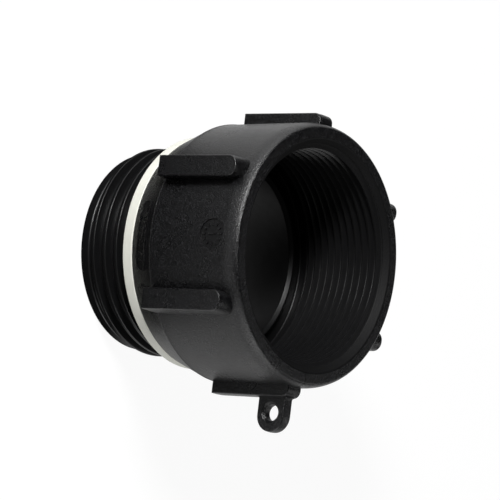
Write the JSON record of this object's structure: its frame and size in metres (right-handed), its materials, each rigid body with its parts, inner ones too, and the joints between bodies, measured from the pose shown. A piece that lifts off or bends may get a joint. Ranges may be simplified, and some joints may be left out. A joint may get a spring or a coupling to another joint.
{
  "type": "thread adapter",
  "caption": "Black moulded plastic thread adapter with a coarse male thread, a flat pale gasket under its shoulder, grip ribs, a strap lug and a fine-threaded female socket.",
  "frame": {"origin": "on the axis, in the flat end face of the male end, on which the adapter stands", "axes": "+Z along the axis towards the female mouth, +X through the strap lug, in the plane where the mould halves met"},
  "size_m": [0.0856, 0.0708, 0.0606],
  "materials": {
    "body_plastic": "black moulded polypropylene, fine spark-eroded grain outside, smooth inside",
    "gasket_rubber": "off-white moulded rubber, matt"
  },
  "bodies": {
    "root": {"adapter_body": "body_plastic", "gasket": "gasket_rubber"}
  },
  "joints": []
}
